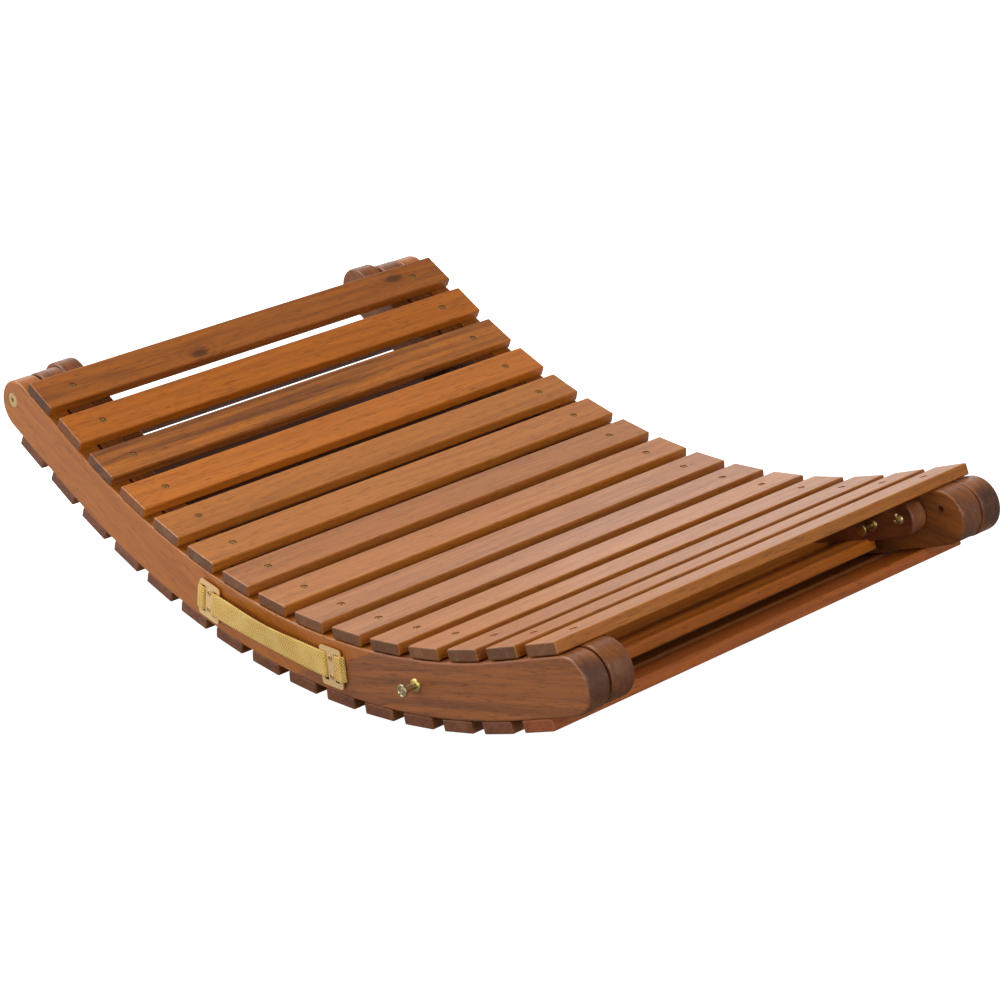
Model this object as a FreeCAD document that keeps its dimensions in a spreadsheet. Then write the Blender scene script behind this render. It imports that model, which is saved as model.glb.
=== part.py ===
import FreeCAD, Part
import math
import os
from types import SimpleNamespace

import Sketcher
from FreeCAD import Placement, Rotation, Vector

# Folding sun lounger in oiled hardwood, shown folded flat.
# Two curved slatted frames nest in each other: the back frame, whose slats form the hollow sitting
# surface, and the leg frame around it, whose slats form the round underside. They are hinged at
# the -X end and open by half a turn into one S-shaped lounger. A headrest and a pair of prop legs
# fold away between them.
# +X runs along the lounger towards its free end, the carrying strap is on the -Y side and +Z is up.
# The origin is the middle of the underside slat that the folded lounger stands on.

doc = FreeCAD.newDocument("folding_sun_lounger")

# Driving dimensions, in millimetres and degrees.
SIZES = (
    ("seat_radius", 830.0, "radius of the hollow sitting surface"),
    ("bend_half_angle", 24.5, "angle over which each half of the frame is bent; beyond it is straight"),
    ("slat_length", 600.0, "length of the slats, across the lounger"),
    ("slat_width", 45.0, "width of a slat"),
    ("slat_thickness", 13.0, "thickness of a slat"),
    ("slat_rounding", 1.8, "rounding of the slats' edges"),
    ("back_slat_pitch", 61.3, "spacing of the back slats along the sitting surface"),
    ("leg_slat_pitch", 63.2, "spacing of the leg slats along the underside"),
    ("leg_slat_shift", 14.6, "shift of the middle leg slat towards the hinge"),
    ("rail_depth", 60.5, "depth of the rails"),
    ("rail_rounding", 2.5, "rounding of the rails' edges"),
    ("hinge_end_run", 105.0, "straight run from the bend to the centre of a rail's round end, at the hinge"),
    ("free_end_run", 97.5, "straight run from the bend to the centre of a rail's round end, at the free end"),
    ("leg_rail_thickness", 28.0, "thickness of the outer rails"),
    ("leg_rail_overhang", 0.5, "how far the outer rails stand out past the slat ends"),
    ("back_rail_thickness", 30.0, "thickness of the inner rails"),
    ("bar_thickness", 22.0, "thickness of the headrest bars"),
    ("prop_thickness", 28.0, "thickness of the prop legs"),
    ("rail_gap", 2.5, "gap between outer and inner rail"),
    ("bar_gap", 1.5, "gap between inner rail and headrest bar or prop leg"),
    ("nest_gap", 1.2, "gap that keeps each frame clear of the other frame's slats"),
    ("hinge_run", 116.0, "straight run from the bend to the hinge axis"),
    ("scarf_middle", 103.0, "place of the glued scarf in the outer rail, from its middle"),
    ("scarf_length", 125.0, "length of the scarf along the rail"),
    ("scarf_nib", 4.0, "height of the blunt nib at each end of the scarf"),
    ("hinge_barrel", 10.0, "diameter of the hinge sleeve"),
    ("hinge_thread", 6.0, "diameter of the hinge bolt in its sleeve"),
    ("hinge_head", 17.0, "diameter of the flat hinge heads"),
    ("hinge_head_height", 3.0, "height of the flat hinge heads"),
    ("hinge_socket", 5.0, "width across flats of the socket in a hinge bolt"),
    ("running_clearance", 0.05, "radial clearance of pins and bolts in their holes"),
    ("recess_clearance", 0.3, "clearance around heads that are sunk in the wood"),
    ("headrest_run", 60.0, "straight run from the bend to the headrest pivot"),
    ("headrest_pivot_depth", 34.5, "headrest pivot below the sitting surface"),
    ("headrest_depth", 40.0, "depth of the headrest bars"),
    ("headrest_length", 292.0, "length of the headrest bars from their pivot"),
    ("headrest_first_slat", 75.0, "pivot to the middle of the first headrest slat"),
    ("headrest_slat_pitch", 61.3, "spacing of the headrest slats"),
    ("headrest_slat_inset", 3.0, "how deep the headrest slats are let into the bars' edge"),
    ("headrest_slat_lap", 10.0, "how far the headrest slats reach into each bar"),
    ("headrest_swing", 177.0, "angle through which the headrest turns out"),
    ("headrest_pin_radius", 40.0, "headrest pivot to lock pin"),
    ("headrest_pin_droop", 3.0, "angle of the lock pin below the middle of its bar"),
    ("pivot_shoulder", 8.0, "diameter of the headrest pivot's shoulder"),
    ("pivot_thread", 6.0, "diameter of the headrest pivot's thread"),
    ("pivot_grip", 24.0, "length of the headrest pivot's thread in the rail"),
    ("pivot_head", 14.0, "diameter of the headrest pivot's round head"),
    ("pivot_head_height", 4.0, "height of the headrest pivot's round head"),
    ("prop_depth", 54.0, "depth of the prop legs"),
    ("crossbar_width", 28.0, "width of the bar between the prop legs"),
    ("crossbar_thickness", 20.0, "thickness of the bar between the prop legs"),
    ("crossbar_inset", 20.0, "middle of that bar from the feet of the prop legs"),
    ("crossbar_tenon", 10.0, "how far that bar reaches into each prop leg"),
    ("frame_pin_place", 224.0, "place of the frame lock pins along the sitting surface"),
    ("frame_pin_depth", 41.5, "frame lock pins below the sitting surface"),
    ("pin_shank", 7.0, "diameter of a lock pin"),
    ("pin_head", 14.0, "diameter of a lock pin's disc head"),
    ("pin_head_height", 3.0, "height of a lock pin's disc head"),
    ("pin_travel", 13.0, "stroke of a lock pin"),
    ("pin_margin", 0.5, "play left at both ends of a lock pin's stroke"),
    ("bush_flange", 14.5, "diameter of a pin bush's flange"),
    ("bush_flange_height", 2.5, "height of a pin bush's flange"),
    ("bush_barrel", 11.0, "diameter of a pin bush in the wood"),
    ("screw_shank", 4.5, "diameter of a slat screw"),
    ("screw_length", 30.0, "length of a slat screw under its head"),
    ("screw_head", 7.6, "diameter of a slat screw's head"),
    ("screw_head_height", 2.5, "height of a slat screw's head"),
    ("screw_recess", 8.6, "diameter of the counterbore over a slat screw"),
    ("screw_recess_depth", 3.2, "depth of the counterbore over a slat screw"),
    ("strap_width", 29.0, "width of the strap's webbing"),
    ("strap_thickness", 2.0, "thickness of the strap's webbing"),
    ("strap_bow", 5.0, "how far the strap bows out from its brackets"),
    ("strap_end_bend", 60.0, "radius of the strap's bend beside a bracket"),
    ("strap_slack", 0.3, "clearance around the strap in its brackets"),
    ("bracket_spread", 207.0, "spacing of the two strap brackets along the rail"),
    ("bracket_height", 44.0, "height of a strap bracket"),
    ("bracket_plate", 1.5, "thickness of a strap bracket"),
    ("bracket_centre_bar", 11.0, "width of a bracket's middle bar"),
    ("bracket_slot", 6.5, "width of a bracket's slots"),
    ("bracket_outer_bar", 5.0, "width of a bracket's outer bars"),
    ("bracket_slot_height", 32.0, "height of a bracket's slots"),
    ("bracket_corner", 4.0, "corner radius of a strap bracket"),
    ("bracket_screw_spread", 21.0, "spacing of the two screws in a bracket"),
    ("bracket_screw_shank", 3.0, "diameter of a bracket screw"),
    ("bracket_screw_head", 6.5, "diameter of a bracket screw's head"),
    ("bracket_screw_head_height", 2.0, "height of a bracket screw's head"),
    ("bracket_screw_length", 14.0, "length of a bracket screw under its head"),
)
SLAT_COUNT = 15
HEADREST_SLAT_COUNT = 4
NEAR = -1
FAR = 1
SIDES = ((NEAR, "near"), (FAR, "far"))

sheet = doc.addObject("Spreadsheet::Sheet", "sizes")
for row, (alias, value, note) in enumerate(SIZES, start=1):
    sheet.set(f"A{row}", str(value))
    sheet.setAlias(f"A{row}", alias)
    sheet.set(f"B{row}", note)
doc.recompute()
dim = SimpleNamespace(**{alias: float(getattr(sheet, alias)) for alias, _, _ in SIZES})

# Depths are measured from the sitting surface, square to it. A flat slat on the hollow edge of a
# rail bears on its two long edges, so that rail lies lower by the rise of the bend under a slat.
seat_line = dim.seat_radius + dim.slat_thickness
slat_rise = math.hypot(seat_line, dim.slat_width / 2) - seat_line
back_rail_top = dim.slat_thickness + slat_rise
back_rail_middle = back_rail_top + dim.rail_depth / 2
leg_rail_top = dim.slat_thickness + dim.nest_gap
leg_rail_middle = leg_rail_top + dim.rail_depth / 2
leg_rail_bottom = leg_rail_top + dim.rail_depth
underside = leg_rail_bottom + dim.slat_thickness
hinge_depth = underside / 2
underside_radius = dim.seat_radius + underside

# Places across the lounger: the outer and inner face of each layer, from the middle plane.
leg_rail_outer = dim.slat_length / 2 + dim.leg_rail_overhang
leg_rail_inner = leg_rail_outer - dim.leg_rail_thickness
back_rail_outer = leg_rail_inner - dim.rail_gap
back_rail_inner = back_rail_outer - dim.back_rail_thickness
bar_outer = back_rail_inner - dim.bar_gap
bar_inner = bar_outer - dim.bar_thickness
prop_inner = bar_outer - dim.prop_thickness
leg_rail_plane = (leg_rail_outer + leg_rail_inner) / 2
back_rail_plane = (back_rail_outer + back_rail_inner) / 2
bar_plane = (bar_outer + bar_inner) / 2
prop_plane = (bar_outer + prop_inner) / 2

# The folded lounger is drawn about the centre of its bend, and then turned until the middle leg
# slat, which sits a little towards the hinge, lies flat on the ground.
rest_turn = math.degrees(dim.leg_slat_shift / underside_radius)
package = Placement(Vector(0, 0, underside_radius), Rotation(Vector(0, 1, 0), -rest_turn))


def station(distance, measured_at, depth):
    """Point of the bent frame, as x, z and slope in degrees, about the centre of the bend.

    distance runs from the middle towards +X along the line that lies measured_at below the
    sitting surface: an arc up to the half angle of the bend, then its tangent. depth is how far
    the point itself lies below the surface, square to it.
    """
    bend = math.radians(dim.bend_half_angle)
    radius = dim.seat_radius + measured_at
    straight = max(abs(distance) - radius * bend, 0)
    angle = math.copysign(min(abs(distance) / radius, bend), distance)
    side = math.copysign(1, distance)
    x = (dim.seat_radius + depth) * math.sin(angle) + side * straight * math.cos(angle)
    z = -(dim.seat_radius + depth) * math.cos(angle) + straight * math.sin(abs(angle))
    return x, z, math.degrees(angle)


def bend_end(measured_at):
    """Distance from the middle to the end of the bend, along a line at that depth."""
    return (dim.seat_radius + measured_at) * math.radians(dim.bend_half_angle)


def placed(x, y, z, turn=0.0):
    """Placement in the folded lounger, turned about Y by that many degrees."""
    return package.multiply(Placement(Vector(x, y, z), Rotation(Vector(0, 1, 0), turn)))


# Drawing helpers: sketches lie in a body's own planes and take their sizes from the sheet.

def new_body(label):
    body = doc.addObject("PartDesign::Body", label)
    body.Label = label
    return body


def new_sketch(body, role, lift=0.0):
    """Sketch on one of the body's origin planes, lifted along the plane's normal."""
    sketch = body.newObject("Sketcher::SketchObject", "sketch")
    plane = [item for item in body.Origin.OriginFeatures if item.Role == role][0]
    sketch.AttachmentSupport = [(plane, "")]
    sketch.MapMode = "FlatFace"
    sketch.AttachmentOffset = Placement(Vector(0, 0, lift), Rotation())
    return sketch


def bind(sketch, constraint, expression):
    """Add a dimension to the sketch and tie it to the sheet."""
    number = sketch.addConstraint(constraint)
    sketch.setExpression(f"Constraints[{number}]", expression)


def draw_loop(sketch, edges):
    """Draw a closed chain of edges, joined end to end, and give the number of its first edge."""
    numbers = list(sketch.addGeometry(edges, False))
    ends = ((1, 1), (1, 2), (2, 1), (2, 2))
    for number, follower in zip(numbers, numbers[1:] + numbers[:1]):
        def apart(pair):
            return sketch.getPoint(number, pair[0]).distanceToPoint(sketch.getPoint(follower, pair[1]))
        here, there = min(ends, key=apart)
        sketch.addConstraint(Sketcher.Constraint("Coincident", number, here, follower, there))
    return numbers[0]


def flat(x, z):
    return Vector(x, z, 0)


def polygon(points):
    """Straight edges round a list of points."""
    pairs = zip(points, points[1:] + points[:1])
    return [Part.LineSegment(start, end) for start, end in pairs]


def turned_box(x, z, width, height, slope):
    """Corners of a rectangle about a point, turned by slope degrees."""
    turn = Rotation(Vector(0, 0, 1), slope)
    corners = ((-1, -1), (1, -1), (1, 1), (-1, 1))
    return [turn.multVec(Vector(i * width / 2, j * height / 2, 0)) + flat(x, z) for i, j in corners]


def draw_circle(sketch, x, z, alias, allowance="0"):
    """Circle whose diameter is a size of the sheet plus an allowance."""
    size = getattr(dim, alias) + 2 * getattr(dim, allowance, 0.0)
    number = sketch.addGeometry(Part.Circle(flat(x, z), Vector(0, 0, 1), size / 2), False)
    extra = "" if allowance == "0" else f" + 2 * sizes.{allowance}"
    bind(sketch, Sketcher.Constraint("Diameter", number, size), f"sizes.{alias}{extra}")


def pad(body, sketch, expression):
    """Pad to both sides of the sketch by a length from the sheet."""
    feature = body.newObject("PartDesign::Pad", "pad")
    feature.Profile = sketch
    feature.Midplane = True
    feature.setExpression("Length", expression)
    return feature


def pocket(body, sketch, side=0, expression=None):
    """Cut along Y: right through, or to a depth from the sheet, from the face on that side."""
    feature = body.newObject("PartDesign::Pocket", "pocket")
    feature.Profile = sketch
    if expression is None:
        feature.Type = "ThroughAll"
        feature.Midplane = True
    else:
        feature.Reversed = side == FAR
        feature.setExpression("Length", expression)
    return feature


def drill(body, places, alias, allowance="0", thickness=0.0, side=0, expression=None):
    """Round holes along Y at the given x and z, through the body or to a depth from one face."""
    sketch = new_sketch(body, "XZ_Plane", -side * thickness / 2)
    for x, z in places:
        draw_circle(sketch, x, z, alias, allowance)
    return pocket(body, sketch, side, expression)


def round_edges(body, base, edges, alias):
    feature = body.newObject("PartDesign::Fillet", "rounding")
    feature.Base = (base, edges)
    feature.setExpression("Radius", f"sizes.{alias}")
    return feature


def turned_body(label, outline, diameters):
    """Body of revolution about its Z axis from a half outline of radius and height pairs."""
    body = new_body(label)
    sketch = new_sketch(body, "XZ_Plane")
    points = [flat(radius, height) for radius, height in outline]
    draw_loop(sketch, polygon(points))
    for index, alias in diameters:
        number = Sketcher.Constraint("DistanceX", -1, 1, index, 1, outline[index][0])
        bind(sketch, number, f"sizes.{alias} / 2")
    feature = body.newObject("PartDesign::Revolution", "revolution")
    feature.Profile = sketch
    feature.ReferenceAxis = (sketch, ["V_Axis"])
    feature.Angle = 360
    return body


def group(label, master, placements):
    """Node that holds one copy of the master at each placement."""
    node = doc.addObject("Part::Feature", label)
    node.Label = label
    copies = []
    for where in placements:
        copy = master.Shape.copy()
        copy.Placement = where.multiply(master.Shape.Placement)
        copies.append(copy)
    node.Shape = Part.makeCompound(copies)
    return node


nodes = []


def keep(node, where=None):
    """Put a finished sub-part in its place and list it."""
    if where is not None:
        node.Placement = where
    nodes.append(node)
    return node


def bar_outline(top, bottom, start, end, scarf=None):
    """Edges of a bent bar between two depths, with half-round ends about two points of its middle.

    start and end are distances along the middle of the bar. Each long edge is split where the
    bend passes into the straight. A scarf is given as the end it takes the place of, -1 or 1, and
    its distances on the bottom and the top edge.
    """
    middle = (top + bottom) / 2
    limit = bend_end(middle)
    low = [start, end]
    high = [start, end]
    if scarf is not None:
        replaced = 0 if scarf[0] == -1 else 1
        low[replaced] = scarf[1]
        high[replaced] = scarf[2]

    def point(distance, depth):
        x, z, _ = station(distance, middle, depth)
        return flat(x, z)

    def long_edge(depth, span):
        cuts = [span[0]] + [cut for cut in (-limit, limit) if span[0] < cut < span[1]] + [span[1]]
        edges = []
        for first, last in zip(cuts, cuts[1:]):
            if abs(first + last) / 2 > limit:
                edges.append(Part.LineSegment(point(first, depth), point(last, depth)))
            else:
                half_way = point((first + last) / 2, depth)
                edges.append(Part.Arc(point(first, depth), half_way, point(last, depth)))
        return edges

    def cap(number, outward):
        first = point(low[number], bottom)
        last = point(high[number], top)
        if scarf is not None and scarf[0] == outward:
            corners = [first, point(low[number], bottom - dim.scarf_nib), point(high[number], top + dim.scarf_nib), last]
            return [Part.LineSegment(one, two) for one, two in zip(corners, corners[1:])]
        x, z, slope = station(low[number], middle, middle)
        lean = math.radians(slope)
        reach = outward * (bottom - top) / 2
        return [Part.Arc(first, flat(x + reach * math.cos(lean), z + reach * math.sin(lean)), last)]

    return long_edge(bottom, low) + cap(1, 1) + long_edge(top, high)[::-1] + cap(0, -1)[::-1]


def outline_edges(feature, sharp_corners):
    """Names of the edges round the flat faces of a padded board, but not those between sharp corners."""
    names = []
    for number, edge in enumerate(feature.Shape.Edges, start=1):
        ends = [flat(vertex.Point.x, vertex.Point.z) for vertex in edge.Vertexes]
        at_corner = [any(end.distanceToPoint(corner) < 0.01 for corner in sharp_corners) for end in ends]
        if edge.BoundBox.YLength < 0.01 and not all(at_corner):
            names.append(f"Edge{number}")
    return names


def board(label, edges, thickness_alias, rounding_alias, sharp_corners=()):
    """Flat board cut to an outline in the XZ plane, with its outline edges rounded over."""
    body = new_body(label)
    sketch = new_sketch(body, "XZ_Plane")
    draw_loop(sketch, edges)
    blank = pad(body, sketch, f"sizes.{thickness_alias}")
    doc.recompute()
    round_edges(body, blank, outline_edges(blank, sharp_corners), rounding_alias)
    return body


# Places along the bend that the rails, bolts and pins share.
hinge_x, hinge_z, _ = station(-bend_end(0) - dim.hinge_run, 0, hinge_depth)
pivot_distance = bend_end(dim.headrest_pivot_depth) + dim.headrest_run
pivot_x, pivot_z, pivot_slope = station(pivot_distance, dim.headrest_pivot_depth, dim.headrest_pivot_depth)
frame_pin_x, frame_pin_z, _ = station(dim.frame_pin_place, 0, dim.frame_pin_depth)
pin_angle_folded = math.radians(180 + pivot_slope + dim.headrest_pin_droop)
pin_angle_open = pin_angle_folded + math.radians(dim.headrest_swing)


def headrest_pin_place(angle):
    """Place of a headrest lock pin about the pivot, at a turn of the headrest."""
    x = pivot_x + dim.headrest_pin_radius * math.cos(angle)
    return x, pivot_z + dim.headrest_pin_radius * math.sin(angle)


# Slats: flat boards with softly rounded edges. Each end is fixed by a screw in a counterbore.
# A slat is drawn with its show face up, at the height of its own origin.
def slat(label, length_expression, screw_line):
    body = new_body(label)
    sketch = new_sketch(body, "XZ_Plane")
    half = dim.slat_width / 2
    corners = [flat(-half, -dim.slat_thickness), flat(half, -dim.slat_thickness), flat(half, 0), flat(-half, 0)]
    first = draw_loop(sketch, polygon(corners))
    for number, kind in ((first, "Horizontal"), (first + 1, "Vertical"), (first + 2, "Horizontal")):
        sketch.addConstraint(Sketcher.Constraint(kind, number))
    sketch.addConstraint(Sketcher.Constraint("Symmetric", first + 2, 1, first + 2, 2, -1, 1))
    bind(sketch, Sketcher.Constraint("DistanceX", first, 1, first, 2, dim.slat_width), "sizes.slat_width")
    bind(sketch, Sketcher.Constraint("DistanceY", first + 1, 1, first + 1, 2, dim.slat_thickness),
         "sizes.slat_thickness")
    blank = pad(body, sketch, length_expression)
    doc.recompute()
    every_edge = [f"Edge{number + 1}" for number in range(len(blank.Shape.Edges))]
    round_edges(body, blank, every_edge, "slat_rounding")
    if screw_line is not None:
        for alias, allowance, depth in (("screw_recess", "0", "sizes.screw_recess_depth"),
                                        ("screw_shank", "running_clearance", "sizes.slat_thickness")):
            holes = new_sketch(body, "XY_Plane")
            for side, _ in SIDES:
                draw_circle(holes, 0, side * screw_line, alias, allowance)
            cut = body.newObject("PartDesign::Pocket", "pocket")
            cut.Profile = holes
            cut.setExpression("Length", depth)
    return body


# Slat screws: a flat head at the bottom of the counterbore, and a shank into the rail. Drawn with
# the slat's show face at height 0.
seat_of_head = -dim.screw_recess_depth
slat_screw = turned_body("slat_screw", (
    (0, seat_of_head - dim.screw_length),
    (dim.screw_shank / 2, seat_of_head - dim.screw_length),
    (dim.screw_shank / 2, seat_of_head),
    (dim.screw_head / 2, seat_of_head),
    (dim.screw_head / 2, seat_of_head + dim.screw_head_height),
    (0, seat_of_head + dim.screw_head_height),
), ((1, "screw_shank"), (3, "screw_head")))
doc.recompute()


def slat_places(kind):
    """Placement of each slat of a frame, hinge end first: the middle of its show face."""
    places = []
    for index in range(SLAT_COUNT):
        step = index - (SLAT_COUNT - 1) / 2
        if kind == "back":
            x, z, slope = station(step * dim.back_slat_pitch, 0, 0)
            places.append(placed(x, 0, z, -slope))
        else:
            x, z, slope = station(step * dim.leg_slat_pitch - dim.leg_slat_shift, underside, underside)
            places.append(placed(x, 0, z, 180 - slope))
    return places


def screw_places(kind, plane):
    """Placement of every slat screw of a frame, in both rails."""
    shift = [Placement(Vector(0, side * plane, 0), Rotation()) for side, _ in SIDES]
    return [place.multiply(across) for place in slat_places(kind) for across in shift]


def drilled_for_screws(label, blank, kind, plane):
    """The rail with a hole for each slat screw that reaches into it."""
    drill_bit = Part.makeCylinder(
        dim.screw_shank / 2 + dim.running_clearance,
        dim.screw_length + dim.screw_recess_depth + dim.pin_margin,
        Vector(0, 0, 0), Vector(0, 0, -1))
    holes = doc.addObject("Part::Feature", "screw_holes")
    holes.Shape = Part.makeCompound([drill_bit.transformed(where.toMatrix()) for where in screw_places(kind, plane)])
    rail = doc.addObject("Part::Cut", label)
    rail.Label = label
    rail.Base = blank
    rail.Tool = holes
    return rail


# Back frame: two inner rails, with the slats of the sitting surface on their hollow edge.
for side, name in SIDES:
    bent = bend_end(back_rail_middle)
    back_rail_edges = bar_outline(back_rail_top, back_rail_top + dim.rail_depth,
                                  -bent - dim.hinge_end_run, bent + dim.free_end_run)
    blank = board(f"back_rail_blank_{name}", back_rail_edges, "back_rail_thickness", "rail_rounding")
    drill(blank, [(hinge_x, hinge_z)], "hinge_barrel", "running_clearance")
    drill(blank, [(pivot_x, pivot_z)], "pivot_thread", "running_clearance", dim.back_rail_thickness, -side,
          "sizes.pivot_grip + sizes.pin_margin")
    lock_holes = [headrest_pin_place(pin_angle_folded), headrest_pin_place(pin_angle_open)]
    drill(blank, lock_holes, "pin_shank", "recess_clearance", dim.back_rail_thickness, -side, "sizes.pin_travel")
    drill(blank, [(frame_pin_x, frame_pin_z)], "pin_shank", "recess_clearance", dim.back_rail_thickness, side,
          "sizes.pin_travel")
    blank.Placement = placed(0, side * back_rail_plane, 0)
    keep(drilled_for_screws(f"back_rail_{name}", blank, "back", back_rail_plane))

for index, place in enumerate(slat_places("back"), start=1):
    keep(slat(f"back_slat_{index:02d}", "sizes.slat_length", back_rail_plane), place)
keep(group("back_slat_screws", slat_screw, screw_places("back", back_rail_plane)))

# Leg frame: two outer rails, each glued up from two lengths with a long scarf, and the slats of
# the underside on their round edge.
scarf_low = dim.scarf_middle - dim.scarf_length / 2
scarf_high = dim.scarf_middle + dim.scarf_length / 2
scarf_corners = []
for place, depth in ((scarf_low, leg_rail_bottom), (scarf_low, leg_rail_bottom - dim.scarf_nib),
                     (scarf_high, leg_rail_top + dim.scarf_nib), (scarf_high, leg_rail_top)):
    x, z, _ = station(place, leg_rail_middle, depth)
    scarf_corners.append(flat(x, z))
bracket_places = [station(half * dim.bracket_spread / 2, leg_rail_middle, leg_rail_middle) for half in (-1, 1)]
bracket_screw_places = []
for x, z, slope in bracket_places:
    lean = math.radians(slope)
    for half in (-1, 1):
        step = half * dim.bracket_screw_spread / 2
        bracket_screw_places.append((x - step * math.sin(lean), z + step * math.cos(lean)))

for side, name in SIDES:
    for half, half_name in ((-1, "hinge"), (1, "foot")):
        bent = bend_end(leg_rail_middle)
        leg_rail_edges = bar_outline(leg_rail_top, leg_rail_bottom, -bent - dim.hinge_end_run,
                                     bent + dim.free_end_run, (-half, scarf_low, scarf_high))
        blank = board(f"leg_rail_blank_{name}_{half_name}", leg_rail_edges, "leg_rail_thickness", "rail_rounding",
                      scarf_corners)
        if half == -1:
            drill(blank, [(hinge_x, hinge_z)], "hinge_barrel", "running_clearance")
            drill(blank, [(hinge_x, hinge_z)], "hinge_head", "recess_clearance", dim.leg_rail_thickness, side,
                  "sizes.hinge_head_height + sizes.recess_clearance")
        else:
            drill(blank, [(frame_pin_x, frame_pin_z)], "bush_barrel", "running_clearance")
        if side == NEAR:
            drill(blank, bracket_screw_places, "bracket_screw_shank", "running_clearance", dim.leg_rail_thickness,
                  side, "sizes.bracket_screw_length")
        blank.Placement = placed(0, side * leg_rail_plane, 0)
        keep(drilled_for_screws(f"leg_rail_{name}_{half_name}_half", blank, "leg", leg_rail_plane))

for index, place in enumerate(slat_places("leg"), start=1):
    keep(slat(f"leg_slat_{index:02d}", "sizes.slat_length", leg_rail_plane), place)
keep(group("leg_slat_screws", slat_screw, screw_places("leg", leg_rail_plane)))

# Hinge: on each side a flat-headed bolt is screwed into a long sleeve that runs through the prop
# leg, the inner rail and the outer rail. Both heads are sunk in the wood.
sleeve_length = leg_rail_outer - prop_inner - 2 * dim.hinge_head_height - 2 * dim.recess_clearance
bolt_length = sleeve_length * 0.7
hinge_sleeve = turned_body("hinge_sleeve", (
    (0, -dim.hinge_head_height),
    (dim.hinge_head / 2, -dim.hinge_head_height),
    (dim.hinge_head / 2, 0),
    (dim.hinge_barrel / 2, 0),
    (dim.hinge_barrel / 2, sleeve_length - dim.pin_margin),
    (dim.hinge_thread / 2 + dim.running_clearance, sleeve_length - dim.pin_margin),
    (dim.hinge_thread / 2 + dim.running_clearance, sleeve_length - bolt_length - dim.pin_margin),
    (0, sleeve_length - bolt_length - dim.pin_margin),
), ((1, "hinge_head"), (3, "hinge_barrel")))
hinge_bolt = turned_body("hinge_bolt", (
    (0, -bolt_length),
    (dim.hinge_thread / 2, -bolt_length),
    (dim.hinge_thread / 2, 0),
    (dim.hinge_head / 2, 0),
    (dim.hinge_head / 2, dim.hinge_head_height),
    (0, dim.hinge_head_height),
), ((1, "hinge_thread"), (3, "hinge_head")))
socket = new_sketch(hinge_bolt, "XY_Plane", dim.hinge_head_height)
corner_reach = dim.hinge_socket / math.sqrt(3)
corner_angles = [math.radians(60 * step) for step in range(6)]
draw_loop(socket, polygon([flat(corner_reach * math.cos(angle), corner_reach * math.sin(angle))
                           for angle in corner_angles]))
socket_cut = hinge_bolt.newObject("PartDesign::Pocket", "socket")
socket_cut.Profile = socket
socket_cut.setExpression("Length", "sizes.hinge_head_height * 2 / 3")
doc.recompute()


def across(x, y, z, side):
    """Placement that points a turned body's Z axis outwards, away from the middle of the lounger."""
    return placed(x, side * y, z).multiply(Placement(Vector(), Rotation(Vector(1, 0, 0), -side * 90)))


sleeve_seat = prop_inner + dim.hinge_head_height + dim.recess_clearance
bolt_seat = leg_rail_outer - dim.hinge_head_height - dim.recess_clearance
keep(group("hinge_sleeves", hinge_sleeve, [across(hinge_x, sleeve_seat, hinge_z, side) for side, _ in SIDES]))
keep(group("hinge_bolts", hinge_bolt, [across(hinge_x, bolt_seat, hinge_z, side) for side, _ in SIDES]))

# Prop legs: short straight legs on the hinge, joined near their feet by a tenoned crossbar. They
# are as long as the hinge is high above the lowest point of the back frame's rails.
hinge_in_package = placed(hinge_x, 0, hinge_z)
prop_length = hinge_in_package.Base.z - (underside - back_rail_top - dim.rail_depth)
_, _, hinge_slope = station(-bend_end(0) - dim.hinge_run, 0, hinge_depth)
half_prop = dim.prop_depth / 2
crossbar_x = prop_length - dim.crossbar_inset
for side, name in SIDES:
    prop_edges = [
        Part.LineSegment(flat(0, -half_prop), flat(prop_length, -half_prop)),
        Part.LineSegment(flat(prop_length, -half_prop), flat(prop_length, half_prop)),
        Part.LineSegment(flat(prop_length, half_prop), flat(0, half_prop)),
        Part.Arc(flat(0, half_prop), flat(-half_prop, 0), flat(0, -half_prop)),
    ]
    prop_leg = board(f"prop_leg_{name}", prop_edges, "prop_thickness", "rail_rounding")
    drill(prop_leg, [(0, 0)], "hinge_barrel", "running_clearance")
    drill(prop_leg, [(0, 0)], "hinge_head", "recess_clearance", dim.prop_thickness, -side,
          "sizes.hinge_head_height + sizes.recess_clearance")
    mortise = new_sketch(prop_leg, "XZ_Plane", side * dim.prop_thickness / 2)
    draw_loop(mortise, polygon(turned_box(crossbar_x, 0, dim.crossbar_width + 2 * dim.running_clearance,
                                          dim.crossbar_thickness + 2 * dim.running_clearance, 0)))
    pocket(prop_leg, mortise, -side, "sizes.crossbar_tenon + sizes.running_clearance")
    keep(prop_leg, placed(hinge_x, side * prop_plane, hinge_z, -hinge_slope))

crossbar = new_body("prop_leg_crossbar")
section = new_sketch(crossbar, "XZ_Plane")
first = draw_loop(section, polygon(turned_box(crossbar_x, 0, dim.crossbar_width, dim.crossbar_thickness, 0)))
bind(section, Sketcher.Constraint("DistanceX", first, 1, first, 2, dim.crossbar_width), "sizes.crossbar_width")
blank = pad(crossbar, section, f"2 * ({prop_inner} + sizes.crossbar_tenon)")
doc.recompute()
long_edges = [f"Edge{number}" for number, edge in enumerate(blank.Shape.Edges, start=1)
              if edge.BoundBox.YLength > dim.slat_width]
round_edges(crossbar, blank, long_edges, "slat_rounding")
keep(crossbar, placed(hinge_x, 0, hinge_z, -hinge_slope))

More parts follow.
